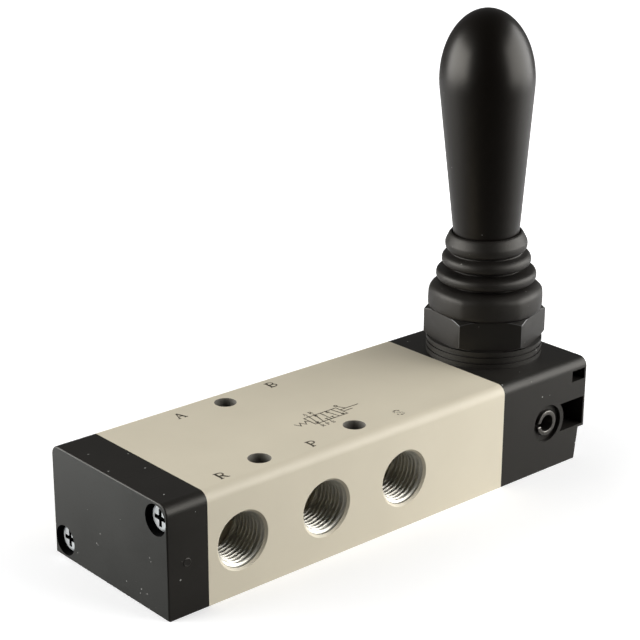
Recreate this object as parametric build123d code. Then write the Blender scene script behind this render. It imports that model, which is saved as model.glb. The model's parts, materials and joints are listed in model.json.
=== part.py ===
from build123d import *
import os
from math import atan, cos, degrees, radians, sin, tan

# Hand lever air valve: five ports, two positions, spring return.
# Millimetres. X runs along the spool, from the end cap to the lever.
# The ports R, P and S open towards -Y. Z = 0 is the seating face.

# ---- driving dimensions ----
body_length = 68.0
body_width = 32.0
body_height = 20.0
top_edge_radius = 1.8
cap_thickness = 8.0
axis_height = 9.4            # ports, spool and lever pivot share this height

port_pitch = 18.0            # R to P to S
first_port = 7.1             # from the cap joint to port R
thread_major = 9.728         # G 1/8
thread_depth = 8.5
port_chamfer = 0.4
port_passage = 5.5

mount_hole = 4.0
mount_pitch = 21.0           # between the two front holes
mount_inset = 4.9            # from each long face to its row of holes

spool_bore = 10.0
groove_bore = 12.4
groove_width = 5.0
land_gap = 0.08              # spool land to bore, on the radius
ring_gap = 0.03              # O-ring to the wall that it slides in
ring_section = 1.5
neck_diameter = 6.6
rod_diameter = 5.0
guide_length = 8.0
rest_gap = 0.1               # spool shoulder to its stop

screw_size = 3.0
screw_gap = 0.05
screw_gap_hole = 0.15        # clearance hole, on the radius
screw_inset = 2.95           # from the long face to the screw axis
screw_margin = 3.2           # from the top or bottom face to the screw axis
screw_recess = 1.0           # from the face down to the screw head
counterbore = 5.4
screw_head = 5.0
screw_head_height = 1.7
screw_grip = 8.0             # thread length inside the body

boss_setback = 1.1           # from the pivot back to the boss's axis
pin_diameter = 4.9
pin_wall = 0.85
pin_slit = 0.6
pin_recess = 7.2
pin_recess_depth = 0.8
pin_end_gap = 0.05
fit_gap = 0.05               # close fits between pieces that don't move

housing_step = 2.5           # lower end face stands back this far at the bottom
housing_step_top = 1.7       # and this far where the step begins
step_height = 6.2
cavity_width = 10.0
cavity_floor = 1.2
cavity_roof = 2.5
cavity_end_wall = 3.8
window_rim = 0.6
window_wall = 0.9            # round the pin recess
window_low = 6.7
window_high = 12.3
window_depth = 8.0
slot_low = 15.9
slot_high = 18.1
slot_length = 3.5
slot_depth = 3.0

tube_diameter = 18.2         # the threaded tube that the nut screws onto
tube_wall = 0.9
tube_height = 2.8
boss_flange = 1.85           # the boss stands out this far round the tube
boss_height = 3.2
boss_ring = 0.9              # height of each raised ring on the boss
boss_ring_cut = 0.3
boss_margin = 0.4            # from the boss to the housing's ends
nut_wall = 0.9               # at the middle of a flat
nut_height = 5.6
nut_lip = 1.8
nut_lip_reach = 0.3          # the lip reaches in over the tube
nut_turn = 20.0              # degrees, first corner from +X
nut_chamfer = 0.6            # depth of the ground corners

lever_lean = 2.5             # degrees at rest, top towards the cap
lever_travel = 15.5          # degrees from rest to the pushed position
toe_arm = 6.3
toe_diameter = 2.8
toe_width = 6.0
toe_gap = 0.12
toe_web = 1.6
hub_diameter = 8.0
hub_width = 8.0
bush_wall = 0.6
bush_gap = 0.05
shaft_diameter = 4.4
insert_diameter = 7.0
insert_length = 14.0
grip_bottom = 41.4           # heights along the upright lever
grip_top = 85.3
grip_diameter = 17.4
grip_dome = 12.8
grip_taper = 5.0             # degrees

boot_overhang = 0.85         # past the nut's flats
boot_wall = 1.2
boot_top = 43.7
boot_lip = 14.5              # across the mouth that takes the grip
boot_lip_wall = 0.45
skirt_height = 4.0
fold_pitch = 2.95            # from one fold to the next
fold_swell = 0.4             # from the neck below a fold out to the fold
first_neck = 2.1             # from the skirt in to the lowest neck
cuff_neck = 0.2              # the neck below the cuff, in from its lip

spring_wire = 0.5
spring_diameter = 4.0
spring_turns = 9
spring_pocket = 1.6          # cap wall behind the spring

yoke_foot = 3.4              # height of the foot bar
yoke_floor_gap = 0.3
yoke_plate = 2.0
yoke_width = 7.0
yoke_screw = 2.5
yoke_head = 4.2
yoke_head_height = 1.2

# ---- sizes that follow from the tube ----
tube_bore = tube_diameter - 2 * tube_wall
boss_diameter = tube_diameter + 2 * boss_flange
nut_flats = tube_diameter + 2 * nut_wall
nut_bore_top = tube_diameter - 2 * nut_lip_reach
boot_diameter = nut_flats + 2 * boot_overhang
housing_length = boss_diameter + 2 * boss_margin

# ---- stations along X, from the middle of the whole length ----
overall = cap_thickness + body_length + housing_length
x_cap_end = -overall / 2
x_cap = x_cap_end + cap_thickness
x_joint = x_cap + body_length
x_end = overall / 2
x_boss = x_joint + boss_diameter / 2 + fit_gap
x_pivot = x_boss + boss_setback
half_width = body_width / 2
mount_offset = half_width - mount_inset
screw_y = half_width - screw_inset

x_ports = [x_cap + first_port + port_pitch / 2 * i for i in range(5)]
x_front_ports = x_ports[0::2]
x_back_ports = x_ports[1::2]
x_mounts = [x_front_ports[1] - mount_pitch / 2, x_front_ports[1] + mount_pitch / 2]

# ---- spool stations; the stroke follows from the lever ----
stroke = toe_arm * (sin(radians(lever_travel - lever_lean)) + sin(radians(lever_lean)))
land_edge = 0.6               # land left beside a ring groove
ring_width = ring_section + 0.2
land_width = ring_width + 2 * land_edge
seal_inset = stroke / 2
groove_edges = [(x - groove_width / 2, x + groove_width / 2) for x in x_ports]
x_end_ring = groove_edges[0][0] - ring_width - rest_gap
x_rings = [
    x_end_ring,
    groove_edges[0][1] + seal_inset,
    groove_edges[2][0] + seal_inset,
    groove_edges[2][1] + seal_inset,
    groove_edges[4][0] + seal_inset,
    groove_edges[4][1] + stroke + ring_width / 2 + 3 * rest_gap,
]
x_spool_left = x_rings[0] - land_width / 2
x_spool_shoulder = x_rings[5] + land_width / 2
stop_thickness = 1.0
x_stop = x_spool_shoulder + rest_gap
x_guide = x_stop + stop_thickness
x_sleeve = x_guide + guide_length
land_diameter = spool_bore - 2 * land_gap
end_gap = 0.5                # spool to cap with the lever fully over
cap_recess = stroke - (x_spool_left - x_cap) + end_gap

# ---- lever stations ----
boss_top = body_height + boss_height
tube_top = boss_top + tube_height
nut_top = boss_top + nut_height
toe_shift = toe_arm * sin(radians(lever_lean))
x_toe = x_pivot + toe_shift
z_toe = axis_height - toe_arm * cos(radians(lever_lean))
slot_half = toe_diameter / 2 + toe_gap
z_foot = cavity_floor + yoke_floor_gap
hub_gap = 1.2                # yoke screw to the lever's hub
x_riser = x_pivot - hub_diameter / 2 - hub_gap - yoke_head_height - yoke_plate
yoke_rim = 0.6
yoke_top = axis_height + rod_diameter / 2 + yoke_rim


def block(x0, x1, y0, y1, z0, z1):
    centre = ((x0 + x1) / 2, (y0 + y1) / 2, (z0 + z1) / 2)
    return Pos(*centre) * Box(x1 - x0, y1 - y0, z1 - z0)


def rod(diameter, start, end):
    """A cylinder between two points."""
    line = Vector(*end) - Vector(*start)
    plane = Plane(origin=start, z_dir=line)
    return Solid.make_cylinder(diameter / 2, line.length, plane)


def bar_x(diameter, x0, x1, y=0.0, z=axis_height):
    return rod(diameter, (x0, y, z), (x1, y, z))


def tube_x(outer, inner, x0, x1, y=0.0, z=axis_height):
    return bar_x(outer, x0, x1, y, z) - bar_x(inner, x0 - 1, x1 + 1, y, z)


def o_ring_x(inner, outer, x):
    """An O-ring on the spool axis, given by the walls it runs between."""
    section = (outer - inner) / 4
    plane = Plane(origin=(x, 0, axis_height), z_dir=(1, 0, 0))
    return Solid.make_torus((outer + inner) / 4, section, plane)


def slab(x0, x1):
    """The valve's section: square below, rounded along both top edges."""
    solid = block(x0, x1, -half_width, half_width, 0, body_height)
    edges = solid.edges().filter_by(Axis.X).group_by(Axis.Z)[-1]
    return fillet(edges, top_edge_radius)


def screw_places(side):
    """The two corners that hold a screw; the ends use opposite diagonals."""
    return [(side * screw_y, body_height - screw_margin), (-side * screw_y, screw_margin)]


def pan_screw(diameter, head, head_height, length, cross):
    """A pan head screw along +Z, with its head's underside at the origin."""
    with BuildPart() as screw:
        Cylinder(diameter / 2, length, align=(Align.CENTER, Align.CENTER, Align.MAX))
        Cylinder(head / 2, head_height, align=(Align.CENTER, Align.CENTER, Align.MIN))
        fillet(screw.edges().group_by(Axis.Z)[-1], head_height * 0.45)
        with Locations((0, 0, head_height)):
            Box(cross, cross / 4, head_height, mode=Mode.SUBTRACT)
            Box(cross / 4, cross, head_height, mode=Mode.SUBTRACT)
    return screw.part


# ---- valve body ----
def port_cut(x, side):
    """A threaded port from the face on one side, down to the spool groove."""
    face = side * half_width
    floor = side * (half_width - thread_depth)
    mouth = Plane(origin=(x, face, axis_height), z_dir=(0, -side, 0))
    cut = rod(thread_major, (x, face + side, axis_height), (x, floor, axis_height))
    cut += rod(port_passage, (x, floor, axis_height), (x, 0, axis_height))
    cut += Solid.make_cone(thread_major / 2 + port_chamfer, thread_major / 2, port_chamfer, mouth)
    return cut


def mount_cut(x, y):
    return rod(mount_hole, (x, y, -1), (x, y, body_height + 1))


def make_valve_body():
    solid = slab(x_cap, x_joint)
    solid -= bar_x(spool_bore, x_cap - 1, x_joint)
    solid -= bar_x(groove_bore, x_stop, x_joint + 1)
    for low, high in groove_edges:
        solid -= bar_x(groove_bore, low, high)
    for x in x_front_ports:
        solid -= port_cut(x, -1)
    for x in x_back_ports:
        solid -= port_cut(x, 1)
    for x in x_mounts:
        solid -= mount_cut(x, -mount_offset)
    solid -= mount_cut(x_front_ports[1], mount_offset)
    tapped = screw_size + 2 * screw_gap
    for y, z in screw_places(-1):
        solid -= bar_x(tapped, x_cap - 1, x_cap + screw_grip + 1, y, z)
    for y, z in screw_places(1):
        solid -= bar_x(tapped, x_joint - screw_grip - 1, x_joint + 1, y, z)
    return solid


# ---- end cap ----
seal_groove = 0.9
seal_outer = spool_bore + 5.0
seal_inner = spool_bore + 1.6
spring_clearance = 0.3       # round the spring, on the radius
spring_hole = spring_diameter + 3 * spring_clearance
cap_clearance = 0.2          # round the spool's end, on the radius
cap_edge = 0.25
cap_head_seat = screw_head_height + screw_recess
x_spring_seat = x_cap_end + spring_pocket
seat_thickness = 0.5
spring_seat_diameter = spring_diameter + 2 * spring_clearance


def face_seal(x0, x1):
    return tube_x(seal_outer - 2 * fit_gap, seal_inner + 2 * fit_gap, x0, x1)


def make_end_cap():
    solid = slab(x_cap_end, x_cap)
    solid = fillet(solid.edges().group_by(Axis.X)[0], cap_edge)
    solid -= bar_x(spool_bore + 2 * cap_clearance, x_cap - cap_recess, x_cap + 1)
    solid -= bar_x(spring_hole, x_spring_seat, x_cap)
    solid -= tube_x(seal_outer, seal_inner, x_cap - seal_groove, x_cap + 1)
    for y, z in screw_places(-1):
        solid -= bar_x(screw_size + 2 * screw_gap_hole, x_cap_end - 1, x_cap + 1, y, z)
        solid -= bar_x(counterbore, x_cap_end - 1, x_cap_end + cap_head_seat, y, z)
    return solid


def make_end_cap_seal():
    return face_seal(x_cap - seal_groove, x_cap)


def make_end_cap_screws():
    seat = x_cap_end + cap_head_seat
    length = x_cap - seat + screw_grip
    screw = pan_screw(screw_size, screw_head, screw_head_height, length, screw_head * 0.6)
    return [Pos(seat, y, z) * Rot(0, -90, 0) * screw for y, z in screw_places(-1)]


def make_spring_seat():
    return tube_x(spring_seat_diameter, spring_diameter / 2, x_spring_seat, x_spring_seat + seat_thickness)


# ---- lever housing ----
boss_grooves = [body_height + boss_ring, body_height + 2 * boss_ring + boss_ring_cut]
x_step = x_end - housing_step
x_step_top = x_end - housing_step_top
housing_edge = 0.3


def housing_seats():
    """Where each housing screw's head sits: its Y, Z and X."""
    (y0, z0), (y1, z1) = screw_places(1)
    sunk = screw_head_height + screw_recess
    return [(y0, z0, x_end - sunk), (y1, z1, x_step - sunk)]


def step_cut():
    """The undercut of the lower end face, which leans slightly."""
    with BuildSketch(Plane.XZ) as section:
        Polygon(
            (x_step, 0),
            (x_step, -1),
            (x_end + 1, -1),
            (x_end + 1, step_height),
            (x_step_top, step_height),
            align=None,
        )
    return extrude(section.sketch, half_width + 1, both=True)


def side_window(side):
    """A pocket beside the pivot boss, with a curved wall round the pin."""
    outer = side * (half_width + 1)
    inner = side * (half_width - window_depth)
    keep = pin_recess + 2 * window_wall
    box = block(x_pivot, x_end - window_rim, min(outer, inner), max(outer, inner), window_low, window_high)
    return box - rod(keep, (x_pivot, outer, axis_height), (x_pivot, inner, axis_height))


def make_lever_housing():
    solid = slab(x_joint, x_end)
    solid = fillet(solid.edges().group_by(Axis.X)[-1], housing_edge)
    solid -= step_cut()
    base = body_height - top_edge_radius
    solid += rod(boss_diameter, (x_boss, 0, base), (x_boss, 0, boss_top))
    solid += rod(tube_diameter, (x_boss, 0, boss_top), (x_boss, 0, tube_top))
    for z in boss_grooves:
        ends = (x_boss, 0, z), (x_boss, 0, z + boss_ring_cut)
        band = rod(boss_diameter + 2, *ends)
        core = rod(boss_diameter - 2 * boss_ring_cut, *ends)
        solid -= band - core
    x_wall = x_end - cavity_end_wall
    half = cavity_width / 2
    solid -= block(x_joint - 1, x_wall, -half, half, cavity_floor, body_height - cavity_roof)
    solid -= rod(tube_bore, (x_boss, 0, body_height - cavity_roof - 2), (x_boss, 0, tube_top + 1))
    reach = half_width + 1
    solid -= rod(pin_diameter + 2 * fit_gap, (x_pivot, -reach, axis_height), (x_pivot, reach, axis_height))
    for side in (-1, 1):
        recess = side * (half_width - pin_recess_depth)
        solid -= rod(pin_recess, (x_pivot, side * reach, axis_height), (x_pivot, recess, axis_height))
        solid -= side_window(side)
    for y, z, seat in housing_seats():
        solid -= bar_x(screw_size + 2 * screw_gap_hole, x_joint - 1, seat + 1, y, z)
        solid -= bar_x(counterbore, seat, x_end + 1, y, z)
    x_slot = x_end - window_rim
    slot_floor = slot_depth - half_width
    solid -= block(x_slot - slot_length, x_slot, -half_width - 1, slot_floor, slot_low, slot_high)
    solid -= tube_x(seal_outer, seal_inner, x_joint - 1, x_joint + seal_groove)
    return solid


def make_housing_seal():
    return face_seal(x_joint, x_joint + seal_groove)


def make_housing_screws():
    screws = []
    for y, z, seat in housing_seats():
        length = seat - x_joint + screw_grip
        screw = pan_screw(screw_size, screw_head, screw_head_height, length, screw_head * 0.6)
        screws.append(Pos(seat, y, z) * Rot(0, 90, 0) * screw)
    return screws


def make_pivot_pin():
    """A rolled spring pin: a hollow tube with a slit along its length."""
    reach = half_width - pin_end_gap
    ends = (x_pivot, -reach, axis_height), (x_pivot, reach, axis_height)
    solid = rod(pin_diameter, *ends) - rod(pin_diameter - 2 * pin_wall, *ends)
    half = pin_slit / 2
    solid -= block(x_pivot - pin_diameter, x_pivot, -reach, reach, axis_height - half, axis_height + half)
    return solid


def make_lock_nut():
    """A hexagon ring nut, threaded on the tube, whose lip holds the boot."""
    hexagon = RegularPolygon(nut_flats / 2, 6, major_radius=False, rotation=nut_turn)
    solid = Pos(x_boss, 0, boss_top) * extrude(hexagon, nut_height)
    slope = tan(radians(30))
    small = nut_flats / 2 / cos(radians(30)) - nut_chamfer / slope
    large = small + nut_height / slope
    solid &= Solid.make_cone(large, small, nut_height, Plane(origin=(x_boss, 0, boss_top)))
    solid &= Solid.make_cone(large, small, nut_height, Plane(origin=(x_boss, 0, nut_top), z_dir=(0, 0, -1)))
    lip = nut_top - nut_lip
    solid -= rod(tube_diameter + 2 * fit_gap, (x_boss, 0, boss_top - 1), (x_boss, 0, lip))
    solid -= rod(nut_bore_top, (x_boss, 0, lip - 1), (x_boss, 0, nut_top + 1))
    return solid


# ---- rod guide, inside the body ----
x_guide_ring = x_guide + guide_length * 0.35
x_rod_seal = x_guide + guide_length * 0.7
guide_outer = groove_bore - 2 * fit_gap
guide_bore = rod_diameter + 2 * land_gap
outer_ring_floor = groove_bore - 2 * ring_section
inner_ring_floor = rod_diameter + 2 * ring_section


def make_rod_guide():
    solid = tube_x(guide_outer, guide_bore, x_guide, x_sleeve)
    half = ring_width / 2
    solid -= tube_x(groove_bore + 1, outer_ring_floor, x_guide_ring - half, x_guide_ring + half)
    solid -= bar_x(inner_ring_floor, x_rod_seal - half, x_rod_seal + half)
    return solid


def make_guide_o_ring():
    return o_ring_x(outer_ring_floor, groove_bore, x_guide_ring)


def make_rod_seal():
    return o_ring_x(rod_diameter + 2 * ring_gap, inner_ring_floor, x_rod_seal)


def make_guide_sleeve():
    return tube_x(guide_outer, cavity_width, x_sleeve, x_joint)


def make_stop_washer():
    return tube_x(guide_outer, guide_bore, x_stop, x_guide)


# ---- spool ----
ring_floor = spool_bore - 2 * ring_section
x_spring_end = x_rings[1] - land_width / 2 - 0.8


def make_spool():
    solid = bar_x(neck_diameter, x_spool_left, x_spool_shoulder)
    for x in x_rings:
        solid += bar_x(land_diameter, x - land_width / 2, x + land_width / 2)
    for x in x_rings:
        solid -= tube_x(spool_bore + 1, ring_floor, x - ring_width / 2, x + ring_width / 2)
    solid += bar_x(rod_diameter, x_spool_shoulder, x_riser)
    solid -= bar_x(spring_seat_diameter, x_spool_left - 1, x_spring_end)
    solid -= bar_x(yoke_screw + 2 * fit_gap, x_riser - 6, x_riser + 1)
    return solid


def make_spool_o_rings():
    return [o_ring_x(ring_floor, spool_bore - 2 * ring_gap, x) for x in x_rings]


def make_return_spring():
    x0 = x_spring_seat + seat_thickness + spring_wire / 2
    height = x_spring_end - spring_wire / 2 - x0
    pitch = height / spring_turns
    radius = (spring_diameter - spring_wire) / 2
    path = Helix(pitch, height, radius)
    start = Plane(origin=path @ 0, z_dir=path % 0)
    section = start * RegularPolygon(spring_wire / 2, 12)
    wire = sweep(section, path=path, is_frenet=True)
    return Pos(x0, 0, axis_height) * Rot(0, 90, 0) * wire


def make_shift_yoke():
    """An angled driver: the plate takes the rod, the foot takes the lever's toe."""
    half = yoke_width / 2
    solid = block(x_riser, x_riser + yoke_plate, -half, half, z_foot, yoke_top)
    x_tip = x_toe + slot_half + yoke_plate
    solid += block(x_riser, x_tip, -half, half, z_foot, z_foot + yoke_foot)
    gap = toe_width / 2 + toe_gap
    solid -= block(x_toe - slot_half, x_toe + slot_half, -gap, gap, z_foot - 1, z_foot + yoke_foot + 1)
    solid -= bar_x(yoke_screw + 2 * fit_gap, x_riser - 1, x_riser + yoke_plate + 1)
    return solid


def make_yoke_screw():
    screw = pan_screw(yoke_screw, yoke_head, yoke_head_height, yoke_plate + 5.0, yoke_head * 0.55)
    return Pos(x_riser + yoke_plate, 0, axis_height) * Rot(0, 90, 0) * screw


# ---- lever, built upright on the pivot axis and then leaned ----
hub_bore = pin_diameter + 2 * bush_gap + 2 * bush_wall


def leaned(solid):
    """Turns an upright piece about the pivot to the lever's rest position."""
    return Pos(x_pivot, 0, axis_height) * Rot(0, -lever_lean, 0) * solid


def make_lever_shaft():
    """The rod, the eye for the pivot and the toe, in one piece."""
    half = hub_width / 2
    top = grip_bottom - axis_height + insert_length
    solid = rod(hub_diameter, (0, -half, 0), (0, half, 0))
    solid += rod(shaft_diameter, (0, 0, 0), (0, 0, top))
    arm = toe_width / 2
    solid += block(-toe_web / 2, toe_web / 2, -arm, arm, -toe_arm, 0)
    solid += rod(toe_diameter, (0, -arm, -toe_arm), (0, arm, -toe_arm))
    solid -= rod(hub_bore, (0, -half - 1, 0), (0, half + 1, 0))
    return leaned(solid)


def make_pivot_bush():
    half = hub_width / 2
    inner = pin_diameter + 2 * bush_gap
    ends = (0, -half, 0), (0, half, 0)
    return leaned(rod(hub_bore, *ends) - rod(inner, *ends))


def make_grip_insert():
    low = grip_bottom - axis_height
    ends = (0, 0, low), (0, 0, low + insert_length)
    return leaned(rod(insert_diameter, *ends) - rod(shaft_diameter, *ends))


def make_lever_grip():
    """A tapered grip with an elliptical crown, its two curves tangent."""
    wide = grip_diameter / 2
    low = grip_bottom - axis_height
    centre = grip_top - axis_height - grip_dome
    turn = -atan(tan(radians(grip_taper)) * grip_dome / wide)
    r_join = wide * cos(turn)
    z_join = centre + grip_dome * sin(turn)
    r_low = r_join - tan(radians(grip_taper)) * (z_join - low)
    with BuildPart() as grip:
        with BuildSketch(Plane.XZ):
            with BuildLine():
                first = degrees(turn)
                span = 90 - first
                crown = EllipticalCenterArc((0, centre), wide, grip_dome, start_angle=first, arc_size=span)
                Line((0, low), (r_low, low))
                Line((r_low, low), crown @ 0)
                Line(crown @ 1, (0, low))
            make_face()
        revolve(axis=Axis.Z)
    solid = grip.part
    solid -= rod(insert_diameter, (0, 0, low - 1), (0, 0, low + insert_length))
    return leaned(solid)


# ---- dust boot ----
def boot_folds():
    """The points of the necks and folds between the skirt and the cuff."""
    low_neck = boot_diameter / 2 - first_neck
    high_neck = boot_lip / 2 - cuff_neck
    points = []
    for k in range(3):
        neck = low_neck + (high_neck - low_neck) * k / 2
        height = nut_top + skirt_height + fold_pitch * (k + 0.5)
        points.append((neck, height))
        points.append((neck + fold_swell, height + fold_pitch * 0.4))
    return points


def boot_outline():
    """Half of the boot's section: a skirt, two folds and a cuff, outside then inside."""
    wide = boot_diameter / 2
    skirt = (wide, nut_top + skirt_height * 0.8)
    shoulder = (wide - first_neck * 0.65, nut_top + skirt_height * 1.2)
    folds = boot_folds()
    outer = [(wide, nut_top), skirt, shoulder] + folds + [(boot_lip / 2, boot_top)]
    mouth = boot_lip / 2 - boot_lip_wall
    cuff_bottom = (mouth, folds[-1][1] - boot_wall / 2)
    inner = [(r - boot_wall, z) for r, z in folds[:-1]]
    bottom = [(wide - boot_wall, nut_top + boot_wall), (wide - boot_wall, skirt[1])]
    return outer + [(mouth, boot_top), cuff_bottom] + inner[::-1] + bottom[::-1]


def make_dust_boot():
    """The folded rubber sleeve, with the flange that the nut's lip holds."""
    neck = nut_bore_top / 2 - fit_gap
    hole = tube_bore / 2
    lip = nut_top - nut_lip
    flange = [(hole, nut_top + boot_wall), (hole, tube_top), (tube_diameter / 2, tube_top)]
    flange += [(tube_diameter / 2, lip), (neck, lip), (neck, nut_top)]
    with BuildPart() as boot:
        with BuildSketch(Plane.XZ):
            with BuildLine():
                Polyline(boot_outline() + flange, close=True)
            make_face()
        revolve(axis=Axis.Z)
    return Pos(x_boss, 0, 0) * boot.part


os.makedirs("parts", exist_ok=True)
makers = {
    "valve_body": make_valve_body,
    "end_cap": make_end_cap,
    "end_cap_seal": make_end_cap_seal,
    "end_cap_screws": make_end_cap_screws,
    "spring_seat": make_spring_seat,
    "lever_housing": make_lever_housing,
    "housing_seal": make_housing_seal,
    "housing_screws": make_housing_screws,
    "pivot_pin": make_pivot_pin,
    "lock_nut": make_lock_nut,
    "rod_guide": make_rod_guide,
    "guide_o_ring": make_guide_o_ring,
    "rod_seal": make_rod_seal,
    "guide_sleeve": make_guide_sleeve,
    "stop_washer": make_stop_washer,
    "spool": make_spool,
    "spool_o_rings": make_spool_o_rings,
    "return_spring": make_return_spring,
    "shift_yoke": make_shift_yoke,
    "yoke_screw": make_yoke_screw,
    "lever_shaft": make_lever_shaft,
    "pivot_bush": make_pivot_bush,
    "grip_insert": make_grip_insert,
    "lever_grip": make_lever_grip,
    "dust_boot": make_dust_boot,
}
for name, make in makers.items():
    made = make()
    solids = made if isinstance(made, list) else [made]
    export_step(Compound(children=[s for item in solids for s in item.solids()]), "parts/" + name + ".step")
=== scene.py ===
import bpy
import bmesh
import json
from math import atan2, cos, pi, radians, sin, sqrt, tan
from mathutils import Matrix, Vector


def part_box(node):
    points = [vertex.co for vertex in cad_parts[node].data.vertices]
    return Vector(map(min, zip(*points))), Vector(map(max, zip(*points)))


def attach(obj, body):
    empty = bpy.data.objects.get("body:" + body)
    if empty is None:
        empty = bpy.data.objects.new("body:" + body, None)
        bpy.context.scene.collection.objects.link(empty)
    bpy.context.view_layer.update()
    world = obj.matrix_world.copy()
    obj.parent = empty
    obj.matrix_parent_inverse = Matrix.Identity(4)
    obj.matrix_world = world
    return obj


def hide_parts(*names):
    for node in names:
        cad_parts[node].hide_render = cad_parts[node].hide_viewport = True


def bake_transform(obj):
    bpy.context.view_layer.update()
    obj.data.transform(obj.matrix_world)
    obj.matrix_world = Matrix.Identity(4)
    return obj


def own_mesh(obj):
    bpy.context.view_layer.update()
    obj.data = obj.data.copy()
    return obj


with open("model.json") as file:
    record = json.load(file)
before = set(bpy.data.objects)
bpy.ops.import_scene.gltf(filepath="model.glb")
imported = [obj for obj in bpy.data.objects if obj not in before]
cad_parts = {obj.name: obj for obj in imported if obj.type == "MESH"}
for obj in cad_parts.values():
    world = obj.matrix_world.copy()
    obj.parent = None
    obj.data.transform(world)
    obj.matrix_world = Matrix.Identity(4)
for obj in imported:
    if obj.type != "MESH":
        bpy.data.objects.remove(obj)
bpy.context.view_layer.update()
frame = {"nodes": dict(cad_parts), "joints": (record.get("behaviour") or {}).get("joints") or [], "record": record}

MM = 0.001

# ---- places, read from the imported model, and a few given sizes ----
body_low, body_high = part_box("valve_body")
cap_low, cap_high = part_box("end_cap")
nut_low, nut_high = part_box("lock_nut")
boot_low, boot_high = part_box("dust_boot")
insert_low, insert_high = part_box("grip_insert")
pivot = Vector(next(j for j in frame["joints"] if j["name"] == "lever_swing")["pos_m"])
mounts = {m["name"]: m for m in frame["record"]["mounts"]}
top_z = body_high[2]
front_holes = mounts["front_holes"]
hole_r = front_holes["dims"]["hole_r_mm"] * MM
hole_gap = front_holes["dims"]["spacing_x_mm"] * MM / 2
hole_x, hole_y = front_holes["pos_m"][:2]
hole_places = [(hole_x - hole_gap, hole_y), (hole_x + hole_gap, hole_y)]
hole_places.append(tuple(mounts["back_hole"]["pos_m"][:2]))
screw_low, screw_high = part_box("end_cap_screws")
screw_reach = 2.5 * MM       # from the outside of a cap screw's head to its axis
cap_screw_places = [
    (screw_low[1] + screw_reach, screw_high[2] - screw_reach),
    (screw_high[1] - screw_reach, screw_low[2] + screw_reach),
]
boss_x = (nut_low[0] + nut_high[0]) / 2
nut_turn = radians(20)       # the nut's hexagon stands turned on its boss
insert_mid = (Vector(insert_low) + Vector(insert_high)) / 2
lean = atan2(pivot.x - insert_mid.x, insert_mid.z - pivot.z)
grip_taper = tan(radians(5.0))
thread_pitch = 25.4 * MM / 28


# ---- shader maths ----
class Value:
    """A socket that can be used in expressions."""

    def __init__(self, shade, socket):
        self.shade = shade
        self.socket = socket

    def math(self, operation, *values):
        return self.shade.node("ShaderNodeMath", {"operation": operation}, dict(enumerate(values)))

    def __add__(self, other):
        return self.math("ADD", self, other)

    def __mul__(self, other):
        return self.math("MULTIPLY", self, other)

    def __gt__(self, other):
        return self.math("GREATER_THAN", self, other)

    def __lt__(self, other):
        return self.math("LESS_THAN", self, other)

    __radd__ = __add__


class Shade:
    """One material's nodes. Places are in the object's own frame, in metres."""

    def __init__(self, name, world=False):
        self.material = bpy.data.worlds.new(name) if world else bpy.data.materials.new(name)
        self.material.use_nodes = True
        self.tree = self.material.node_tree
        self.tree.nodes.clear()
        self.place = self.node("ShaderNodeTexCoord", out="Object")

    def node(self, kind, settings=None, sockets=None, out=0):
        made = self.tree.nodes.new(kind)
        for key, value in (settings or {}).items():
            if key == "stops":
                self.set_stops(made.color_ramp, value)
            else:
                setattr(made, key, value)
        for key, value in (sockets or {}).items():
            self.feed(made.inputs[key], value)
        return Value(self, made.outputs[out])

    def feed(self, socket, value):
        if isinstance(value, Value):
            self.tree.links.new(value.socket, socket)
        else:
            socket.default_value = value

    @staticmethod
    def set_stops(ramp, stops):
        while len(ramp.elements) < len(stops):
            ramp.elements.new(1.0)
        for element, (position, level) in zip(ramp.elements, stops):
            element.position = position
            element.color = (level, level, level, 1)

    def stretched(self, scale):
        return self.node("ShaderNodeMapping", None, {"Vector": self.place, "Scale": scale})

    def noise(self, size, detail=3.0, place=None):
        """Smooth noise, 0 to 1, whose features are about size metres across."""
        sockets = {"Vector": place or self.place, "Scale": 1 / size}
        sockets.update({"Detail": detail, "Roughness": 0.55})
        return self.node("ShaderNodeTexNoise", None, sockets, "Fac")

    def cells(self, size):
        """How far a place is from the middle of its cell, in cells."""
        sockets = {"Vector": self.place, "Scale": 1 / size}
        return self.node("ShaderNodeTexVoronoi", None, sockets, "Distance")

    def dot(self, first, second):
        sockets = {0: first, 1: second}
        return self.node("ShaderNodeVectorMath", {"operation": "DOT_PRODUCT"}, sockets, "Value")

    def ray(self, kind):
        """1 for one kind of ray, such as Camera, and 0 for the others."""
        return self.node("ShaderNodeLightPath", out="Is %s Ray" % kind)

    def ramp(self, value, low, high):
        """0 below low, 1 above high."""
        sockets = {"Value": value, "From Min": low, "From Max": high}
        return self.node("ShaderNodeMapRange", None, sockets)

    def mix(self, share, first, second):
        sockets = {0: share, 6: first, 7: second}
        return self.node("ShaderNodeMix", {"data_type": "RGBA"}, sockets, 2)

    def bump(self, height, distance, strength):
        sockets = {"Height": height, "Distance": distance, "Strength": strength}
        return self.node("ShaderNodeBump", None, sockets)

    def finish(self, **sockets):
        """The surface itself; a name such as Base_Color stands for Base Color."""
        named = {key.replace("_", " "): value for key, value in sockets.items()}
        self.output(self.node("ShaderNodeBsdfPrincipled", None, named))
        return self.material

    def output(self, surface, kind="ShaderNodeOutputMaterial"):
        made = self.tree.nodes.new(kind)
        self.tree.links.new(surface.socket, made.inputs["Surface"])


def rgb(red, green, blue):
    return (red, green, blue, 1.0)


def dust(shade, size, amount):
    """A few pale specks: 1 on a speck, 0 elsewhere."""
    speck = shade.cells(size) < 0.09 * amount
    patch = shade.noise(size * 3) > 0.56
    return speck * patch


# ---- materials ----
warm = rgb(1.0, 0.96, 0.88)


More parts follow.
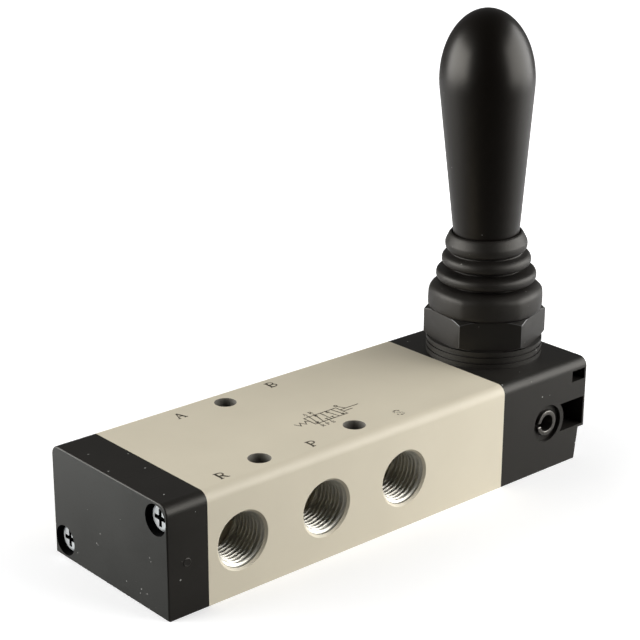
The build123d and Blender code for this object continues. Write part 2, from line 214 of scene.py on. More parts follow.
def coated_body():
    """Champagne coat on aluminium: an even satin, with a fine blasted grain."""
    shade = Shade("champagne_coat")
    grain = shade.noise(0.12 * MM, 2.0)
    clouds = shade.noise(14 * MM, 3.0)
    smudge = shade.ramp(shade.noise(6 * MM, 4.0), 0.5, 0.75)
    tone = shade.mix(clouds, rgb(0.600, 0.545, 0.420), rgb(0.680, 0.618, 0.482))
    tone = shade.mix(grain * 0.10, tone, rgb(0.80, 0.75, 0.63))
    rough = 0.46 + smudge * 0.08 + grain * 0.08
    normal = shade.bump(grain, 0.004 * MM, 0.35)
    return shade.finish(Base_Color=tone, Roughness=rough, Specular_IOR_Level=0.35, Normal=normal)


def moulded_black(name, shine, tint, gap):
    """Satin glass-filled plastic with flow marks, fine scuffs and dust."""
    shade = Shade(name)
    grain = shade.noise(0.18 * MM, 2.0)
    flow = shade.noise(9 * MM, 4.0)
    specks = dust(shade, gap, 1.0)
    streaks = shade.noise(0.5 * MM, 2.0, place=shade.stretched((0.12, 1.0, 1.0)))
    scuffs = shade.ramp(streaks, 0.66, 0.72)
    tone = shade.mix(flow, rgb(0.0085, 0.0076, 0.0064), rgb(0.0140, 0.0128, 0.0110))
    tone = shade.mix(specks * 0.9, tone, rgb(0.34, 0.34, 0.32))
    rough = 0.40 + flow * 0.10 + scuffs * 0.08
    normal = shade.bump(grain, 0.006 * MM, 0.5)
    return shade.finish(
        Base_Color=tone, Roughness=rough, Specular_IOR_Level=shine, Specular_Tint=tint, Normal=normal
    )


def nut_black():
    """The nut's plastic, a little darker and smoother than the housing's."""
    shade = Shade("nut_black")
    grain = shade.noise(0.2 * MM, 2.0)
    specks = dust(shade, 1.7 * MM, 1.0)
    tone = shade.mix(grain, rgb(0.0058, 0.0050, 0.0042), rgb(0.0094, 0.0084, 0.0072))
    tone = shade.mix(specks * 0.4, tone, rgb(0.2, 0.19, 0.18))
    normal = shade.bump(grain, 0.006 * MM, 0.5)
    rough = 0.42 + grain * 0.06
    return shade.finish(
        Base_Color=tone, Roughness=rough, Specular_IOR_Level=0.33, Specular_Tint=warm, Normal=normal
    )


def grip_black():
    """Glossy thermoset: nearly smooth, with a slow orange peel and fine dust."""
    shade = Shade("grip_black")
    peel = shade.noise(2.4 * MM, 2.0)
    grain = shade.noise(0.25 * MM, 2.0)
    specks = dust(shade, 2.6 * MM, 0.7)
    tone = shade.mix(peel, rgb(0.0034, 0.0026, 0.0020), rgb(0.0050, 0.0038, 0.0030))
    tone = shade.mix(specks * 0.5, tone, rgb(0.25, 0.24, 0.23))
    height = peel + grain * 0.12
    normal = shade.bump(height, 0.02 * MM, 0.5)
    rough = 0.30 + grain * 0.06
    return shade.finish(
        Base_Color=tone, Roughness=rough, Specular_IOR_Level=0.28, Specular_Tint=warm, Normal=normal
    )


def boot_rubber():
    """Soft black rubber, slightly bloomed, with dust caught in the folds."""
    shade = Shade("boot_rubber")
    grain = shade.noise(0.3 * MM, 3.0)
    bloom = shade.ramp(shade.noise(5 * MM, 4.0), 0.4, 0.8)
    specks = dust(shade, 1.6 * MM, 1.0)
    tone = shade.mix(bloom, rgb(0.0048, 0.0038, 0.0030), rgb(0.0110, 0.0098, 0.0082))
    tone = shade.mix(specks * 0.5, tone, rgb(0.30, 0.29, 0.27))
    normal = shade.bump(grain, 0.02 * MM, 0.5)
    rough = 0.46 + grain * 0.10
    return shade.finish(
        Base_Color=tone, Roughness=rough, Specular_IOR_Level=0.36, Specular_Tint=warm, Normal=normal
    )


def cut_aluminium():
    """Bare aluminium left by the tap, with turning lines round the port."""
    shade = Shade("cut_aluminium")
    lines = shade.noise(0.06 * MM, 2.0, place=shade.stretched((0.2, 1.0, 0.2)))
    tone = shade.mix(lines, rgb(0.42, 0.405, 0.35), rgb(0.66, 0.64, 0.565))
    normal = shade.bump(lines, 0.004 * MM, 0.4)
    return shade.finish(Base_Color=tone, Roughness=0.35 + lines * 0.14, Metallic=0.75, Normal=normal)


def zinc_plate():
    """Bright zinc with a faint blue passivation, streaked by handling."""
    shade = Shade("zinc_plate")
    cloud = shade.noise(0.9 * MM, 3.0)
    streak = shade.noise(0.1 * MM, 2.0)
    tone = shade.mix(cloud, rgb(0.80, 0.86, 0.88), rgb(0.96, 0.97, 0.96))
    normal = shade.bump(streak, 0.006 * MM, 0.5)
    return shade.finish(Base_Color=tone, Roughness=0.28 + streak * 0.16, Metallic=0.7, Normal=normal)


def spring_steel():
    """Oiled dark steel of the rolled pin."""
    shade = Shade("spring_steel")
    cloud = shade.noise(1.2 * MM, 3.0)
    lines = shade.noise(0.1 * MM, 2.0)
    tone = shade.mix(cloud, rgb(0.07, 0.065, 0.058), rgb(0.13, 0.122, 0.110))
    normal = shade.bump(lines, 0.005 * MM, 0.4)
    return shade.finish(Base_Color=tone, Roughness=0.30 + lines * 0.15, Metallic=0.9, Normal=normal)


def turned_metal(name, dark, light):
    """Bare metal with fine turning lines."""
    shade = Shade(name)
    lines = shade.noise(0.12 * MM, 2.0, place=shade.stretched((1.0, 0.2, 0.2)))
    tone = shade.mix(lines, rgb(*dark), rgb(*light))
    normal = shade.bump(lines, 0.004 * MM, 0.4)
    return shade.finish(Base_Color=tone, Roughness=0.25 + lines * 0.15, Metallic=1.0, Normal=normal)


def plain_moulding(name, dark, light, roughness, shine=0.5):
    """An even finish with a fine grain, for small and hidden pieces."""
    shade = Shade(name)
    grain = shade.noise(0.3 * MM, 3.0)
    tone = shade.mix(grain, rgb(*dark), rgb(*light))
    normal = shade.bump(grain, 0.01 * MM, 0.4)
    rough = roughness + grain * 0.08
    return shade.finish(Base_Color=tone, Roughness=rough, Specular_IOR_Level=shine, Normal=normal)


def printed_ink(name, wear):
    """Dark brown print, thinner where it has been rubbed."""
    shade = Shade(name)
    spots = shade.noise(0.35 * MM, 3.0)
    cover = shade.ramp(spots, wear - 0.12, wear + 0.05)
    tone = shade.mix(spots, rgb(0.050, 0.040, 0.026), rgb(0.10, 0.085, 0.06))
    return shade.finish(Base_Color=tone, Roughness=0.5 + spots * 0.1, Alpha=cover)


body_coat = coated_body()
# Painted shade: a dark brown-grey for the walls of the mounting holes, where shade falls.
painted_hole_shade = plain_moulding("drilled_hole", (0.12, 0.112, 0.094), (0.19, 0.18, 0.155), 0.5)
# Painted shade: a near-black with almost no shine, for the cap's screw recesses and the screws' cross slots, where
# shade falls.
painted_recess_shade = plain_moulding(
    "recess_black", (0.0012, 0.0012, 0.0011), (0.0022, 0.0021, 0.0020), 0.85, shine=0.05
)
# Painted highlight: a lighter, shinier black for the nut's rounded outer edges.
nut_edge = plain_moulding("nut_edge", (0.016, 0.0155, 0.0145), (0.030, 0.029, 0.027), 0.34, shine=0.8)
# Painted highlight: a lighter steel for the rounded ends of the pin.
pin_edge = turned_metal("pin_edge", (0.11, 0.105, 0.095), (0.18, 0.172, 0.158))
black = moulded_black("moulded_black", 0.32, warm, 1.7 * MM)
# Painted sheen: a shinier, cooler-tinted copy of the same black for the cap's end face, so that this face reads
# brighter than its sides; its denser specks are dust.
face_black_painted_sheen = moulded_black("cap_face_black", 0.74, rgb(0.96, 1.0, 0.96), 1.25 * MM)
nut_finish = nut_black()
grip_finish = grip_black()
rubber = boot_rubber()
bare_port = cut_aluminium()
zinc = zinc_plate()
dark_steel = spring_steel()
steel = turned_metal("turned_steel", (0.42, 0.42, 0.41), (0.60, 0.60, 0.58))
spool_metal = turned_metal("turned_aluminium", (0.62, 0.62, 0.62), (0.82, 0.82, 0.82))
brass = turned_metal("turned_brass", (0.60, 0.44, 0.18), (0.80, 0.62, 0.30))
seal_rubber = plain_moulding("seal_rubber", (0.012, 0.012, 0.012), (0.022, 0.022, 0.021), 0.45)
pale_plastic = plain_moulding("guide_plastic", (0.62, 0.60, 0.54), (0.72, 0.70, 0.64), 0.40)
ink = printed_ink("printed_ink", 0.42)
worn_ink = printed_ink("worn_ink", 0.58)

finishes = {
    "valve_body": body_coat,
    "end_cap": black,
    "lever_housing": black,
    "lock_nut": nut_finish,
    "lever_grip": grip_finish,
    "dust_boot": rubber,
    "pivot_pin": dark_steel,
    "end_cap_screws": zinc,
    "housing_screws": zinc,
    "yoke_screw": zinc,
    "spool": spool_metal,
    "shift_yoke": steel,
    "lever_shaft": steel,
    "return_spring": steel,
    "spring_seat": steel,
    "pivot_bush": brass,
    "grip_insert": brass,
    "rod_guide": pale_plastic,
    "guide_sleeve": pale_plastic,
}
for name, node in frame["nodes"].items():
    node.data.materials.clear()
    node.data.materials.append(finishes.get(name, seal_rubber))


def paint(name, material, inside):
    """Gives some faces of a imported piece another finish, chosen by their middle."""
    mesh = frame["nodes"][name].data
    mesh.materials.append(material)
    for polygon in mesh.polygons:
        if inside(polygon.center, polygon.normal):
            polygon.material_index = len(mesh.materials) - 1


def in_mounting_hole(middle, normal):
    reach = hole_r + 0.05 * MM
    near = any((middle.x - x) ** 2 + (middle.y - y) ** 2 < reach ** 2 for x, y in hole_places)
    return near and abs(normal.z) < 0.5


def from_cap_screw(middle):
    """How far a point is from the nearer cap screw's axis."""
    return min(sqrt((middle.y - y) ** 2 + (middle.z - z) ** 2) for y, z in cap_screw_places)


def in_cap_recess(middle, normal):
    recess_r = 2.8 * MM
    deep = cap_low[0] + 0.05 * MM < middle.x < screw_low[0] + 2 * MM
    return deep and from_cap_screw(middle) < recess_r


def in_screw_cross(middle, normal):
    cross_r = 1.56 * MM
    deep = screw_low[0] + 0.12 * MM < middle.x < screw_low[0] + 0.95 * MM
    return deep and from_cap_screw(middle) < cross_r


def on_cap_face(middle, normal):
    return normal.x < -0.95 and middle.x < cap_low[0] + 0.02 * MM


# painted shade on the walls of the mounting holes
paint("valve_body", painted_hole_shade, in_mounting_hole)
# painted sheen: the shinier copy of the black on the cap's end face
paint("end_cap", face_black_painted_sheen, on_cap_face)
# painted shade in the cap's screw recesses
paint("end_cap", painted_recess_shade, in_cap_recess)
# painted shade in the cross slots of the cap screws
paint("end_cap_screws", painted_recess_shade, in_screw_cross)


# ---- mesh helpers ----
def keep_mesh(name, points, faces, material, smooth=True, crease=None):
    """A mesh piece in the shared frame, with its normals turned outwards."""
    mesh = bpy.data.meshes.new(name)
    mesh.from_pydata([tuple(p) for p in points], [], faces)
    work = bmesh.new()
    work.from_mesh(mesh)
    bmesh.ops.recalc_face_normals(work, faces=work.faces)
    work.to_mesh(mesh)
    work.free()
    for polygon in mesh.polygons:
        polygon.use_smooth = smooth
    if crease is not None:
        mesh.set_sharp_from_angle(angle=radians(crease))
    piece = bpy.data.objects.new(name, mesh)
    bpy.context.scene.collection.objects.link(piece)
    mesh.materials.append(material)
    return piece


def grid_faces(rows, columns, wrap_rows):
    """Quads of a grid whose rows are rings; the last row may join the first."""
    faces = []
    for i in range(rows if wrap_rows else rows - 1):
        for j in range(columns):
            a = i * columns + j
            b = i * columns + (j + 1) % columns
            c = (i + 1) % rows * columns + (j + 1) % columns
            d = (i + 1) % rows * columns + j
            faces.append((a, b, c, d))
    return faces


def end_faces(rows, columns):
    """The two flat ends of a grid of rings."""
    return [tuple(range(columns))[::-1], tuple((rows - 1) * columns + j for j in range(columns))]


def rounded(outline, passes, closed=False):
    """Cuts an outline's corners, again and again, until it is smooth."""
    points = [Vector(p) for p in outline]
    for _ in range(passes):
        count = len(points)
        pairs = [(points[i], points[(i + 1) % count]) for i in range(count if closed else count - 1)]
        cut = []
        for first, second in pairs:
            cut.append(first.lerp(second, 0.25))
            cut.append(first.lerp(second, 0.75))
        points = cut if closed else [points[0]] + cut + [points[-1]]
    return points


def softened(name, width, rounds_highlight, chosen):
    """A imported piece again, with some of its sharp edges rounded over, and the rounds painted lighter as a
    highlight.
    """
    source = frame["nodes"][name]
    work = bmesh.new()
    work.from_mesh(source.data)
    bmesh.ops.remove_doubles(work, verts=work.verts, dist=0.001 * MM)
    bmesh.ops.dissolve_limit(work, angle_limit=radians(0.5), verts=work.verts, edges=work.edges)
    edges = []
    for edge in work.edges:
        middle = (edge.verts[0].co + edge.verts[1].co) / 2
        if len(edge.link_faces) == 2 and edge.calc_face_angle() > radians(20) and chosen(middle):
            edges.append(edge)
    rounds = bmesh.ops.bevel(
        work, geom=edges, offset=width, segments=3, profile=0.5, affect="EDGES", clamp_overlap=True
    )
    # the rounds get the second material: a painted highlight
    for face in rounds["faces"]:
        face.material_index = 1
    mesh = bpy.data.meshes.new("soft_" + name)
    work.to_mesh(mesh)
    work.free()
    for polygon in mesh.polygons:
        polygon.use_smooth = True
    mesh.set_sharp_from_angle(angle=radians(24))
    mesh.materials.append(finishes[name])
    mesh.materials.append(rounds_highlight)
    piece = bpy.data.objects.new("soft_" + name, mesh)
    bpy.context.scene.collection.objects.link(piece)
    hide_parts(name)
    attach(piece, "valve")
    return piece


def make_nut():
    """The nut with its outer edges rounded, the rounds painted lighter as a highlight."""
    rim = 0.44 * (nut_high[1] - nut_low[1])

    def outer(middle):
        return sqrt((middle.x - boss_x) ** 2 + middle.y ** 2) > rim

    nut = softened("lock_nut", 0.22 * MM, nut_edge, outer)


def make_pin():
    """The rolled pin with its two ends rounded, the rounds painted lighter as a highlight."""
    pin = softened("pivot_pin", 0.2 * MM, pin_edge, lambda p: abs(p.y) > 0.9 * body_high[1])


# ---- lever grip ----
def lever_matrix():
    """From an upright lever, standing on the pivot, to its rest lean."""
    return Matrix.Translation(pivot) @ Matrix.Rotation(-lean, 4, "Y")


def make_grip():
    """The tapered grip with an elliptical crown and a rounded lower edge."""
    upright = lever_matrix().inverted()
    corners = [upright @ v.co for v in frame["nodes"]["lever_grip"].data.vertices]
    low = min(p.z for p in corners)
    high = max(p.z for p in corners)
    wide = max(sqrt(p.x ** 2 + p.y ** 2) for p in corners)
    dome = 12.8 * MM
    centre = high - dome
    turn = -atan2(grip_taper * dome, wide)      # where the taper runs on into the crown
    join_r = wide * cos(turn)
    join_z = centre + dome * sin(turn)
    low_r = join_r - grip_taper * (join_z - low)
    middle_r = 0.0001 * MM
    edge = 0.8 * MM
    cut = 0.23 * MM
    outline = [(middle_r, low), (low_r * 0.5, low), (low_r - edge, low)]
    outline += [(low_r - cut, low + cut), (low_r, low + edge)]
    side_steps, crown_steps, around = 20, 25, 96
    for i in range(1, side_steps + 1):
        share = i / side_steps
        outline.append((low_r + (join_r - low_r) * share, low + edge + (join_z - low - edge) * share))
    for i in range(1, crown_steps):
        angle = turn + (pi / 2 - turn) * i / crown_steps
        outline.append((wide * cos(angle), centre + dome * sin(angle)))
    outline.append((middle_r, high))
    points = []
    for r, z in outline:
        for j in range(around):
            angle = 2 * pi * j / around
            points.append(lever_matrix() @ Vector((r * cos(angle), r * sin(angle), z)))
    faces = grid_faces(len(outline), around, False) + end_faces(len(outline), around)
    grip = keep_mesh("grip", points, faces, grip_finish)
    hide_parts("lever_grip")
    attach(grip, "lever")


# ---- dust boot ----
def grip_radius(z):
    """The grip's radius at a height of the upright lever."""
    low_r, low_z = 6.10 * MM, 41.4 * MM
    return low_r + (z - low_z) * grip_taper


def skirt_radius(r, z, angle, base):
    """The skirt takes a little of the nut's six flats, and is round again above it."""
    round_from = base + 5.0 * MM
    fade_over = 1.4 * MM
    strength = 0.18
    off_flat = (angle - nut_turn) % radians(60) - radians(30)
    flat = 1 - cos(radians(30)) / cos(off_flat)
    fade = min(1.0, max(0.0, (round_from - z) / fade_over))
    return r * (1 - strength * flat * fade)


def make_boot():
    """The folded sleeve: a skirt on the nut, two rolls, and a cuff that hugs the grip."""
    wide = (boot_high[0] - boot_low[0]) / 2
    base = nut_high[2]
    top = boot_high[2]
    cuff_r = grip_radius(top) + 0.02 * MM
    outside = [
        (wide - 0.5 * MM, base),
        (wide, base + 0.3 * MM),
        (wide, base + 2.6 * MM),
        (wide - 0.15 * MM, base + 4.0 * MM),
        (wide - 1.7 * MM, base + 4.9 * MM),
        (wide - 3.4 * MM, base + 5.0 * MM),
        (wide - 2.6 * MM, base + 5.35 * MM),
        (wide - 1.45 * MM, base + 5.75 * MM),
        (wide - 1.45 * MM, base + 7.4 * MM),
        (wide - 2.6 * MM, base + 7.75 * MM),
        (wide - 4.3 * MM, base + 7.9 * MM),
        (wide - 3.6 * MM, base + 8.35 * MM),
        (wide - 2.45 * MM, base + 8.8 * MM),
        (wide - 2.55 * MM, base + 10.5 * MM),
        (wide - 4.3 * MM, base + 11.0 * MM),
        (wide - 3.6 * MM, base + 11.4 * MM),
        (wide - 3.2 * MM, base + 11.9 * MM),
        (wide - 3.15 * MM, base + 12.9 * MM),
        (wide - 3.3 * MM, top - 1.6 * MM),
        (cuff_r + 0.55 * MM, top - 0.2 * MM),
        (cuff_r + 0.12 * MM, top),
    ]
    inside = [
        (cuff_r, top - 0.15 * MM),
        (cuff_r, base + 12.2 * MM),
        (wide - 5.0 * MM, base + 11.2 * MM),
        (wide - 3.6 * MM, base + 9.6 * MM),
        (wide - 5.0 * MM, base + 8.1 * MM),
        (wide - 2.6 * MM, base + 6.6 * MM),
        (wide - 4.2 * MM, base + 5.2 * MM),
        (wide - 1.5 * MM, base + 3.6 * MM),
        (wide - 1.4 * MM, base + 1.2 * MM),
        (wide - 2.6 * MM, base + 1.1 * MM),
        (wide - 2.65 * MM, boot_low[2]),
        (wide - 2.10 * MM, boot_low[2]),
        (wide - 2.10 * MM, base),
    ]
    outline = rounded(outside + inside, 2, closed=True)
    around = 128
    points = []
    rise = top - base
    skirt_r = wide - 1.3 * MM
    for round_r, z in outline:
        share = min(1.0, max(0.0, (z - base - 4.0 * MM) / (rise - 5.0 * MM)))
        tilt = lean * share
        offset = pivot.x - (z - pivot.z) * tan(lean) - boss_x
        for j in range(around):
            angle = 2 * pi * j / around
            r = skirt_radius(round_r, z, angle, base) if round_r > skirt_r else round_r
            x = boss_x + offset * share + r * cos(angle)
            points.append((x, r * sin(angle), z + r * cos(angle) * tan(tilt)))
    boot = keep_mesh("boot", points, grid_faces(len(outline), around, True), rubber)
    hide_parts("dust_boot")
    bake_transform(boot)


# ---- port threads ----
def make_port_thread(mount):
    """A helical thread inside one port, cut to a sharp crest and run out at both ends."""
    radius = mount["dims"]["r_mm"] * MM - 0.002 * MM
    length = mount["dims"]["length_mm"] * MM
    out = Vector(mount["axis"])
    mouth = Vector(mount["pos_m"])
    side = Vector((1, 0, 0))
    up = out.cross(side)
    depth = 0.56 * MM
    slack = 0.02 * MM
    flank, root = 1.55, 0.22       # how steep a flank is, and how much of a turn is left flat
    around = 72
    rows = int(length / thread_pitch * 10)
    points = []
    for i in range(rows + 1):
        along = length * i / rows
        fade = min(1.0, (length - along) / thread_pitch, max(0.0, along / (0.9 * thread_pitch)))
        for j in range(around):
            angle = 2 * pi * j / around
            phase = (along / thread_pitch + j / around) % 1.0
            crest = min(1.0, max(0.0, flank * (1 - abs(2 * phase - 1)) - root))
            r = radius - slack - depth * fade * crest
            points.append(mouth - out * along + (side * cos(angle) + up * sin(angle)) * r)
    for along in (length, 0.0):
        for j in range(around):
            angle = 2 * pi * j / around
            points.append(mouth - out * along + (side * cos(angle) + up * sin(angle)) * radius)
    faces = grid_faces(rows + 3, around, True)
    thread = keep_mesh("thread_" + mount["name"], points, faces, bare_port, crease=50)
    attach(thread, "valve")


# ---- print on the top face ----
ink_height = 0.012 * MM


def ribbon(points, width, closed=False):
    """The left and right edges of a flat line through points, with mitred corners."""
    count = len(points)
    left, right = [], []
    for i, p in enumerate(points):
        before = points[i - 1] if i or closed else None
        after = points[(i + 1) % count] if i < count - 1 or closed else None
        way = Vector((0, 0))
        if before is not None:
            way += (Vector(p) - Vector(before)).normalized()
        if after is not None:
            way += (Vector(after) - Vector(p)).normalized()
        way.normalize()
        other = Vector(after if after is not None else p) - Vector(before if after is None else p)
        stretch = 1 / max(0.5, abs(way.dot(other.normalized())))
        across = Vector((-way.y, way.x)) * width / 2 * stretch
        left.append(Vector(p) + across)
        right.append(Vector(p) - across)
    return left, right


class Print:
    """Flat marks on the top face, gathered in one mesh."""

    def __init__(self, name, material):
        self.name = name
        self.material = material
        self.points = []
        self.faces = []

    def line(self, points, width, closed=False):
        left, right = ribbon(points, width, closed)
        base = len(self.points)
        count = len(left)
        for level in (0.0, ink_height):
            for p in left + right:
                self.points.append((p.x, p.y, top_z + level))
        spans = range(count if closed else count - 1)
        upper = base + 2 * count
        for i in spans:
            j = (i + 1) % count
            a, b, c, d = i, j, j + count, i + count
            self.faces.append((upper + a, upper + b, upper + c, upper + d))
            self.faces.append((base + d, base + c, base + b, base + a))
            self.faces.append((base + a, base + b, upper + b, upper + a))
            self.faces.append((base + c, base + d, upper + d, upper + c))
        if not closed:
            for i in (0, count - 1):
                self.faces.append((base + i, base + i + count, upper + i + count, upper + i))

    def keep(self):
        piece = keep_mesh(self.name, self.points, self.faces, self.material, smooth=False)
        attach(piece, "valve")


def bow(x0, x1, y0, y1):
    """A half round stroke from (x0, y0) out to x1 and back to (x0, y1)."""
    steps = 10
    middle = (y0 + y1) / 2
    flat = x0 + (x1 - x0) * 0.45
    points = [(x0, y0)]
    for i in range(steps + 1):
        angle = -pi / 2 + pi * i / steps
        points.append((flat + (x1 - flat) * cos(angle), middle + (y1 - y0) / 2 * sin(angle)))
    points.append((x0, y1))
    return points


def letter_strokes(letter):
    """Strokes of a serifed capital, as points on a unit square and a weight."""
    thick, thin, serif = 0.20, 0.09, 0.09
    if letter == "A":
        return [
            ([(0.12, 0), (0.50, 1)], thin),
            ([(0.50, 1), (0.88, 0)], thick),
            ([(0.25, 0.34), (0.73, 0.34)], thin),
            ([(-0.02, 0), (0.28, 0)], serif),
            ([(0.68, 0), (1.05, 0)], serif),
        ]
    if letter == "S":
        curve = [(0.84, 0.72), (0.80, 0.90), (0.50, 0.99), (0.20, 0.88), (0.18, 0.68), (0.42, 0.56)]
        curve += [(0.66, 0.46), (0.84, 0.32), (0.80, 0.12), (0.50, 0.01), (0.20, 0.10), (0.14, 0.30)]
        return [([tuple(p) for p in rounded(curve, 2)], thick * 0.85)]
    strokes = [
        ([(0.22, 0), (0.22, 1)], thick),
        ([(0.02, 0), (0.42, 0)], serif),
        ([(0.02, 1), (0.42, 1)], serif),
    ]
    if letter in "PRB":
        strokes.append((bow(0.25, 0.84, 0.48, 0.97), thin * 1.5))
    if letter == "B":
        strokes.append((bow(0.25, 0.92, 0.03, 0.50), thin * 1.5))
    if letter == "R":
        strokes.append(([(0.48, 0.48), (0.86, 0.03)], thick))
        strokes.append(([(0.76, 0), (1.04, 0)], serif))
    return strokes


def print_letter(mark, letter, x, y, size):
    """A capital centred on x, y, read from the front of the valve."""
    for points, weight in letter_strokes(letter):
        moved = [(x + (u - 0.5) * size * 0.9, y + (v - 0.5) * size) for u, v in points]
        mark.line(moved, weight * size)


cell = 3.7 * MM              # one square of the symbol
tall = 3.1 * MM
fine = 0.2 * MM
inlet_shares = (0.18, 0.5, 0.82)
outlet_shares = (0.32, 0.68)


def print_ways(mark, x, y):
    """The two squares with their arrows and stopped ports; they meet at x."""
    low = y - tall / 2
    barb_long, barb_wide = 0.7 * MM, 0.28 * MM
    stop_long, stop_wide = 0.7 * MM, 0.3 * MM
    for k in (0, 1):
        left = x + (k - 1) * cell
        right = left + cell
        mark.line([(left, low), (right, low), (right, low + tall), (left, low + tall)], fine, True)
        places = [left + cell * share for share in inlet_shares]
        outlets = [left + cell * share for share in outlet_shares]
        if k:
            flows = [(places[1], outlets[0]), (outlets[1], places[2])]
            stop = places[0]
        else:
            flows = [(places[1], outlets[1]), (outlets[0], places[0])]
            stop = places[2]
        for bottom, top in flows:
            rising = bottom == places[1]
            ends = [(bottom, low), (top, low + tall)]
            if not rising:
                ends = [(bottom, low + tall), (top, low)]
            mark.line(ends, fine)
            tip = Vector(ends[1])
            way = (tip - Vector(ends[0])).normalized()
            side = Vector((-way.y, way.x))
            back = tip - way * barb_long
            barb = [back + side * barb_wide, tip, back - side * barb_wide]
            mark.line([tuple(p) for p in barb], fine)
        mark.line([(stop, low), (stop, low + stop_long)], fine)
        mark.line([(stop - stop_wide, low + stop_long), (stop + stop_wide, low + stop_long)], fine)


def print_symbol(mark, x, y):
    """The usual sign for a five port, two position valve with a lever and a spring."""
    print_ways(mark, x, y)
    stub, letter_off, letter_size = 0.6 * MM, 1.2 * MM, 0.8 * MM
    for letters, shares, edge, way in (
        ("RPS", inlet_shares, y - tall / 2, -1),
        ("AB", outlet_shares, y + tall / 2, 1),
    ):
        for letter, share in zip(letters, shares):
            foot = x + cell * (share - 1)
            mark.line([(foot, edge), (foot, edge + way * stub)], fine)
            print_letter(mark, letter, foot, edge + way * letter_off, letter_size)
    tooth = 0.6 * MM
    zigzag = [(x - cell, y)]
    for i in range(1, 6):
        zigzag.append((x - cell - i * tooth, y + (tooth if i % 2 else -tooth)))
    mark.line(zigzag, fine)
    right = x + cell
    half_gap = 0.4 * MM
    knob_x, knob_y, knob_r = right + 0.5 * MM, y + 2.2 * MM, 0.3 * MM
    mark.line([(right, y + half_gap), (right + 4.2 * MM, y + half_gap)], fine)
    mark.line([(right, y - half_gap), (right + 2.2 * MM, y - half_gap)], fine)
    mark.line([(right + 1.3 * MM, y + half_gap), (knob_x, knob_y - knob_r)], fine)
    turns = [2 * pi * i / 10 for i in range(10)]
    mark.line([(knob_x + knob_r * cos(a), knob_y + knob_r * sin(a)) for a in turns], fine, True)


def make_print():
    """The port letters, one of them worn, and the symbol."""
    marks = Print("port_letters", ink)
    front = [mounts[name]["pos_m"][0] for name in ("port_r", "port_p", "port_s")]
    back = [mounts[name]["pos_m"][0] for name in ("port_a", "port_b")]
    size = 2.1 * MM
    print_letter(marks, "A", back[0] - 0.8 * MM, 11.5 * MM, size)
    print_letter(marks, "B", back[1] + 2.4 * MM, 12.2 * MM, size)
    print_letter(marks, "R", front[0] - 1.4 * MM, -12.3 * MM, size)
    print_letter(marks, "P", front[1], -12.3 * MM, size)
    marks.keep()
    worn = Print("worn_letter", worn_ink)
    print_letter(worn, "S", front[2] + 2.0 * MM, -12.1 * MM, size)
    worn.keep()
    sign = Print("valve_symbol", ink)
    print_symbol(sign, body_low[0] + 34.5 * MM, -5.0 * MM)
    sign.keep()


# ---- moulding marks ----
def make_gate_mark():
    """The small round gate scar on the cap's front side."""
    x = (cap_low[0] + cap_high[0]) / 2 - 0.2 * MM
    y = cap_low[1]
    z = 9.3 * MM
    low, high = 0.05 * MM, 0.09 * MM
    outline = rounded([(0.0, low), (0.55 * MM, low), (0.62 * MM, high), (0.80 * MM, 0.0)], 2)
    around = 40
    points = []
    for r, height in outline:
        for j in range(around):
            angle = 2 * pi * j / around
            radius = max(r, 0.001 * MM)
            points.append((x + radius * cos(angle), y - height, z + radius * sin(angle)))
    faces = grid_faces(len(outline), around, False) + end_faces(len(outline), around)
    mark = keep_mesh("gate_mark", points, faces, black)
    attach(mark, "valve")


# ---- return spring ----
def squeeze_spring():
    """Works out the share of the spring's length kept with the spool nearest the cap, and gives the spring its own
    mesh; nothing here shortens it.
    """
    low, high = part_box("return_spring")
    slide = next(j for j in frame["joints"] if j["name"] == "spool_slide")
    keep = 1 + slide["range_m"][0] / (high[0] - low[0])
    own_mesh(frame["nodes"]["return_spring"])


# ---- stage, light and camera ----
view_turn = radians(-41.383)
view_rise = radians(19.95)
view_roll = radians(0.29)
view_place = Vector((-192.834, -214.437, 139.331)) * MM
ahead = Vector((sin(view_turn), -cos(view_turn), 0))     # level, from the valve towards the camera


def make_stage():
    """A white table that keeps the shadow; its far front is dark to everything but the camera."""
    shade = Shade("white_table")
    camera = shade.ray("Camera")
    lit = shade.ramp(shade.dot(shade.place, ahead), 0.10, -0.02)
    grain = shade.noise(20 * MM)
    paper = shade.mix(grain, rgb(0.83, 0.83, 0.83), rgb(0.85, 0.85, 0.85))
    seen = shade.node("ShaderNodeBsdfDiffuse", None, {"Color": paper})
    reach = shade.node("ShaderNodeVectorMath", {"operation": "LENGTH"}, {0: shade.place}, "Value")
    clean = shade.mix(shade.ramp(reach, 0.05, 0.20), rgb(0.35, 0.35, 0.35), rgb(1, 1, 1))
    glow = shade.node("ShaderNodeEmission", None, {"Color": clean, "Strength": 1.0})
    white = shade.node("ShaderNodeAddShader", None, {0: seen, 1: glow})
    faded = shade.mix(lit * lit, rgb(0.03, 0.03, 0.03), rgb(0.84, 0.84, 0.84))
    plain = shade.node("ShaderNodeBsdfDiffuse", None, {"Color": faded})
    shade.output(shade.node("ShaderNodeMixShader", None, {0: camera, 1: plain, 2: white}))
    half = 2.0
    under = -0.02 * MM
    corners = [(-half, -half, under), (half, -half, under), (half, half, under), (-half, half, under)]
    keep_mesh("table", corners, [(0, 1, 2, 3)], shade.material, smooth=False)


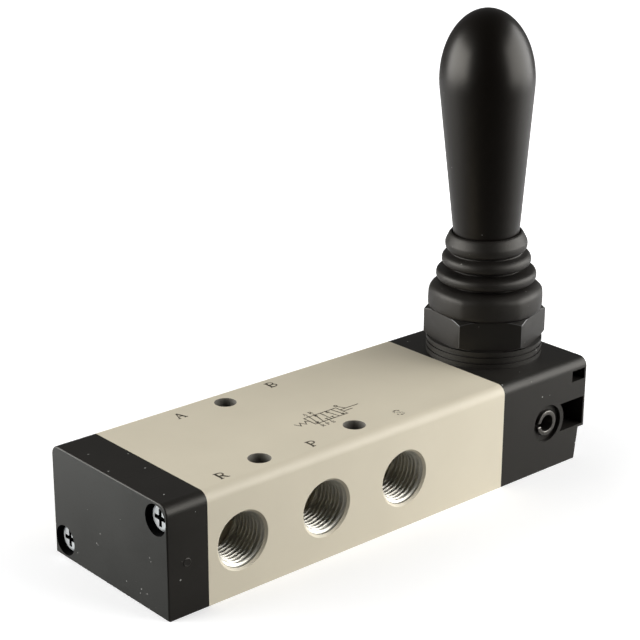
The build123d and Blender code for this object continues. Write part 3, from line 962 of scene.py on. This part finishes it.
def make_world():
    """White for the camera, and for shine from both sides; a dim room for all other light."""
    shade = Shade("studio", world=True)
    bpy.context.scene.world = shade.material
    way = shade.node("ShaderNodeTexCoord", out="Generated")
    behind = shade.dot(way, -ahead)
    room = shade.mix(shade.ramp(behind, -0.6, 0.9), rgb(0.02, 0.02, 0.02), rgb(0.16, 0.16, 0.16))
    beside = shade.dot(way, Vector((-ahead.y, ahead.x, 0)))
    shine = (shade.ray("Glossy") + shade.ray("Transmission")) * shade.ramp(beside * beside, 0.5, 0.9)
    shown = shade.ray("Camera") + shine
    tone = shade.mix(shown, room, rgb(1, 1, 1))
    backdrop = shade.node("ShaderNodeBackground", None, {"Color": tone, "Strength": 1.0})
    shade.output(backdrop, "ShaderNodeOutputWorld")


def make_lamp(name, turn, rise, distance, size, level):
    """A soft box, placed by its turn from the camera's side and its rise above the table."""
    aim = Vector((0, 0, 0.03))
    flat = Matrix.Rotation(radians(turn), 3, "Z") @ ahead
    way = flat * cos(radians(rise)) + Vector((0, 0, sin(radians(rise))))
    light = bpy.data.lights.new(name, "AREA")
    light.shape = "RECTANGLE"
    light.size, light.size_y = size
    light.energy = level * (pi * distance) ** 2
    lamp = bpy.data.objects.new(name, light)
    bpy.context.scene.collection.objects.link(lamp)
    lamp.location = aim + way * distance
    lamp.rotation_euler = way.to_track_quat("Z", "Y").to_euler()


def make_camera():
    data = bpy.data.cameras.new("view")
    data.sensor_width = 36.0
    data.lens = 98.75
    data.clip_start = 0.01
    camera = bpy.data.objects.new("view", data)
    bpy.context.scene.collection.objects.link(camera)
    back = ahead * cos(view_rise) + Vector((0, 0, sin(view_rise)))
    level = Vector((0, 0, 1)).cross(back).normalized()
    upright = back.cross(level)
    right = level * cos(view_roll) + upright * sin(view_roll)
    up = upright * cos(view_roll) - level * sin(view_roll)
    turn = Matrix((right, up, back)).transposed().to_4x4()
    camera.matrix_world = Matrix.Translation(view_place) @ turn
    bpy.context.scene.camera = camera


make_nut()
make_pin()
make_grip()
make_boot()
for name in ("port_r", "port_p", "port_s", "port_a", "port_b"):
    make_port_thread(mounts[name])
make_print()
make_gate_mark()
squeeze_spring()
make_stage()
make_world()
make_lamp("right_box", turn=90, rise=14, distance=0.42, size=(0.6, 0.42), level=2.42)
make_lamp("left_box", turn=-86, rise=7, distance=0.42, size=(0.5, 0.42), level=3.0)
make_camera()
bpy.context.scene.view_settings.view_transform = "Standard"
